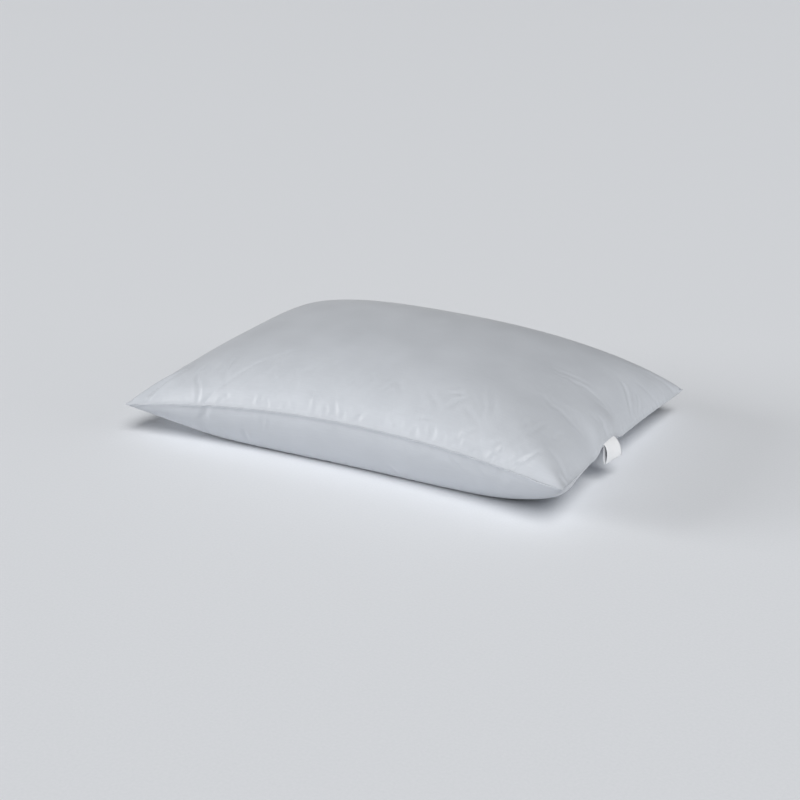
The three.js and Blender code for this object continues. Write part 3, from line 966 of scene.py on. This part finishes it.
def sateen_cloth():
    material, shader = begin_material("silver_grey_sateen", IOR=1.5, Sheen_Weight=0.22, Sheen_Roughness=0.4)
    links = material.node_tree.links
    cut = add_node(material, "ShaderNodeUVMap", uv_map="cut").outputs[0]
    floats = add_node(material, "ShaderNodeMapping", {"Vector": cut}, {"Scale": per_unit(WEAVE, WEAVE, 1)})
    weft = add_node(material, "ShaderNodeTexWave", {"Vector": floats.outputs[0]},
                    {"Scale": ONE_REPEAT, "Distortion": 0.6, "Detail": 1.0}, bands_direction="Y")
    slub_size = per_unit(SLUB_LENGTH, SLUB_WIDTH, 1)
    slub_place = add_node(material, "ShaderNodeMapping", {"Vector": cut}, {"Scale": slub_size})
    slubs = add_node(material, "ShaderNodeTexNoise", {"Vector": slub_place.outputs[0]},
                     {"Scale": 1.0, "Detail": 3.0})
    # A slow noise, 55 mm across, is painted highlight and shade of the fibre lumps in the colour, and real
    # gloss variation in the roughness.
    lump_shade_size = per_unit(LUMP_SHADE_SIZE, LUMP_SHADE_SIZE, 1)
    lump_shade_place = add_node(material, "ShaderNodeMapping", {"Vector": cut}, {"Scale": lump_shade_size})
    lump_shade_and_gloss = add_node(material, "ShaderNodeTexNoise", {"Vector": lump_shade_place.outputs[0]},
                      {"Scale": 1.0, "Detail": 2.0})
    tone = add_node(material, "ShaderNodeMath", {0: slubs.outputs["Fac"], 1: lump_shade_and_gloss.outputs["Fac"]},
                    operation="ADD")
    half = add_node(material, "ShaderNodeMath", {0: tone.outputs[0]}, {1: 0.5}, operation="MULTIPLY")
    # The colour mixes the slubs' own tone with the painted lump highlight and shade.
    colour = add_node(material, "ShaderNodeMix", {0: half.outputs[0]},
                      {6: linear("#b9bdc3"), 7: linear("#cbcfd5")}, data_type="RGBA")
    links.new(colour.outputs[2], shader.inputs["Base Color"])
    gloss = add_node(material, "ShaderNodeMapRange", {"Value": lump_shade_and_gloss.outputs["Fac"]},
                     {"From Min": 0.3, "From Max": 0.7, "To Min": 0.40, "To Max": 0.50})
    links.new(gloss.outputs[0], shader.inputs["Roughness"])
    slub_bump = add_node(material, "ShaderNodeBump", {"Height": slubs.outputs["Fac"]},
                         {"Strength": 0.12, "Distance": 0.25 * MM})
    weave_bump = add_node(material, "ShaderNodeBump",
                          {"Height": weft.outputs["Fac"], "Normal": slub_bump.outputs[0]},
                          {"Strength": 0.10, "Distance": 0.08 * MM})
    links.new(weave_bump.outputs[0], shader.inputs["Normal"])
    return material


sateen = sateen_cloth()
for cloth in panels.values():
    cloth.data.materials.append(sateen)
print("the sateen has", len(sateen.node_tree.nodes), "nodes")

# %% [markdown]
# ## Satin ribbon
# The label is a woven polyester ribbon: brighter and glossier than the pillow, ribbed across its width
# by its weft, with a close selvedge 1.5 mm wide along both edges.

# %% Satin ribbon
RIB = 0.6 * MM
SELVEDGE = 1.5 * MM


def satin_ribbon():
    material, shader = begin_material("white_satin_ribbon", IOR=1.5, Sheen_Weight=0.15, Roughness=0.38)
    links = material.node_tree.links
    cut = add_node(material, "ShaderNodeUVMap", uv_map="cut").outputs[0]
    rib_place = add_node(material, "ShaderNodeMapping", {"Vector": cut}, {"Scale": per_unit(RIB, RIB, 1)})
    ribs = add_node(material, "ShaderNodeTexWave", {"Vector": rib_place.outputs[0]},
                    {"Scale": ONE_REPEAT, "Distortion": 0.3}, bands_direction="X")
    across = add_node(material, "ShaderNodeSeparateXYZ", {0: cut}).outputs["Y"]
    from_middle = add_node(material, "ShaderNodeMath", {0: across}, {1: RIBBON_WIDTH / 2},
                           operation="SUBTRACT")
    distance = add_node(material, "ShaderNodeMath", {0: from_middle.outputs[0]}, operation="ABSOLUTE")
    selvedge_from = RIBBON_WIDTH / 2 - 1.2 * SELVEDGE
    edge = add_node(material, "ShaderNodeMapRange", {"Value": distance.outputs[0]},
                    {"From Min": selvedge_from, "From Max": selvedge_from + 0.2 * SELVEDGE})
    colour = add_node(material, "ShaderNodeMix", {0: edge.outputs[0]},
                      {6: linear("#f1f2f4"), 7: linear("#e4e6e9")}, data_type="RGBA")
    links.new(colour.outputs[2], shader.inputs["Base Color"])
    raised = add_node(material, "ShaderNodeBump", {"Height": edge.outputs[0]},
                      {"Strength": 0.4, "Distance": 0.15 * MM})
    ribbed = add_node(material, "ShaderNodeBump",
                      {"Height": ribs.outputs["Fac"], "Normal": raised.outputs[0]},
                      {"Strength": 0.18, "Distance": 0.08 * MM})
    links.new(ribbed.outputs[0], shader.inputs["Normal"])
    return material


label.data.materials.append(satin_ribbon())

# %% [markdown]
# ## Threads and filling
# Sewing thread is two plies of spun polyester twisted together, so fine slanted ridges run round it, and
# the grooves between the plies are painted darker as shade. The overlock thread is looser and fluffier.
# The filling is white hollow fibre, matt and cloudy, with a strong sheen from its many loose ends, and it
# is painted greyer in the hollows between its clumps as shade.

# %% Threads and filling
CLUMP = 22 * MM


def twisted_thread(name, low, high, ply, roughness):
    material, shader = begin_material(name, Roughness=roughness, Sheen_Weight=0.3)
    links = material.node_tree.links
    place = add_node(material, "ShaderNodeTexCoord").outputs["Object"]
    ply_place = add_node(material, "ShaderNodeMapping", {"Vector": place}, {"Scale": per_unit(ply, ply, ply)})
    plies = add_node(material, "ShaderNodeTexWave", {"Vector": ply_place.outputs[0]},
                     {"Scale": ONE_REPEAT, "Distortion": 1.2, "Detail": 2.0}, bands_direction="DIAGONAL")
    # The ply ridges take the lighter colour and the grooves between them the darker one, as painted shade.
    colour = add_node(material, "ShaderNodeMix", {0: plies.outputs["Fac"]},
                      {6: linear(low), 7: linear(high)}, data_type="RGBA")
    links.new(colour.outputs[2], shader.inputs["Base Color"])
    ridge = add_node(material, "ShaderNodeBump", {"Height": plies.outputs["Fac"]},
                     {"Strength": 0.5, "Distance": 0.1 * MM})
    links.new(ridge.outputs[0], shader.inputs["Normal"])
    return material


def hollow_fibre():
    material, shader = begin_material("white_hollow_fibre", Roughness=0.95, Sheen_Weight=0.6)
    links = material.node_tree.links
    place = add_node(material, "ShaderNodeTexCoord").outputs["Object"]
    clump_size = per_unit(CLUMP, CLUMP, CLUMP)
    clump_place = add_node(material, "ShaderNodeMapping", {"Vector": place}, {"Scale": clump_size})
    clumps = add_node(material, "ShaderNodeTexNoise", {"Vector": clump_place.outputs[0]},
                      {"Scale": 1.0, "Detail": 6.0, "Roughness": 0.65})
    # The colour follows the clump noise, which is also the bump's height, so the hollows between clumps are
    # painted greyer as shade.
    colour = add_node(material, "ShaderNodeMix", {0: clumps.outputs["Fac"]},
                      {6: linear("#dfe0e1"), 7: linear("#f4f4f2")}, data_type="RGBA")
    links.new(colour.outputs[2], shader.inputs["Base Color"])
    fluff = add_node(material, "ShaderNodeBump", {"Height": clumps.outputs["Fac"]},
                     {"Strength": 0.6, "Distance": 2 * MM})
    links.new(fluff.outputs[0], shader.inputs["Normal"])
    return material


# In each pair of colours the darker one is painted shade for the grooves between the plies.
sewing_thread = twisted_thread("spun_polyester_thread", "#aeb2b8", "#c6c9ce", 0.35 * MM, 0.6)
overlock_thread = twisted_thread("textured_overlock_thread", "#c4c6c9", "#dcdde0", 0.5 * MM, 0.8)
for piece in thread_pieces:
    piece.data.materials.append(sewing_thread)
for piece in overlocks:
    piece.data.materials.append(overlock_thread)
bag.data.materials.append(hollow_fibre())

# %% [markdown]
# ## Floor and light
# The floor is plain pale paper with a faint grain. A broad low key light from the left rakes over the
# folds and lights the shoulder, and a softer one from the upper right lights the crown and keeps the
# contact shadow close to the pillow. A weak one from the right and a faint even sky fill the shadows. The
# sky looks as pale as the floor, but it sheds little light, so that the shadows keep their depth.

# %% Floor and light
GRAIN = 3 * MM
SKY_LIGHT, SKY_SEEN = 0.03, 0.8

bpy.ops.object.select_all(action="DESELECT")
bpy.ops.mesh.primitive_plane_add(size=160, location=(0, 0, 0))
floor = bpy.context.object
floor.name = "floor"
paper, shader = begin_material("pale_paper", Roughness=0.85)
paper_place = add_node(paper, "ShaderNodeTexCoord").outputs["Object"]
grain_size = per_unit(GRAIN, GRAIN, GRAIN)
grain_place = add_node(paper, "ShaderNodeMapping", {"Vector": paper_place}, {"Scale": grain_size})
grain = add_node(paper, "ShaderNodeTexNoise", {"Vector": grain_place.outputs[0]},
                 {"Scale": 1.0, "Detail": 3.0})
colour = add_node(paper, "ShaderNodeMix", {0: grain.outputs["Fac"]},
                  {6: linear("#dfe2e6"), 7: linear("#e8eaee")}, data_type="RGBA")
paper.node_tree.links.new(colour.outputs[2], shader.inputs["Base Color"])
floor.data.materials.append(paper)

world = bpy.data.worlds.new("studio")
bpy.context.scene.world = world
world.use_nodes = True
background = world.node_tree.nodes["Background"]
background.inputs["Color"].default_value = linear("#eef0f3")
seen = add_node(world, "ShaderNodeLightPath").outputs["Is Camera Ray"]
brightness = add_node(world, "ShaderNodeMapRange", {"Value": seen}, {"To Min": SKY_LIGHT, "To Max": SKY_SEEN})
world.node_tree.links.new(brightness.outputs[0], background.inputs["Strength"])


def soft_light(name, azimuth, elevation, strength, softness):
    """A broad light from far away, azimuth degrees right of straight in front of the pillow."""
    a, e = math.radians(azimuth), math.radians(elevation)
    towards = Vector((math.sin(a) * math.cos(e), -math.cos(a) * math.cos(e), math.sin(e)))
    bpy.ops.object.light_add(type="SUN", location=towards * 3)
    lamp = bpy.context.object
    lamp.name = name
    lamp.data.energy = strength
    lamp.data.angle = math.radians(softness)
    lamp.rotation_euler = (-towards).to_track_quat("-Z", "Y").to_euler()


soft_light("key_light", -62, 13, 1.85, 24)
soft_light("top_light", 45, 50, 2.6, 35)
soft_light("side_light", 100, 18, 0.4, 35)
bpy.context.scene.view_settings.view_transform = "Standard"
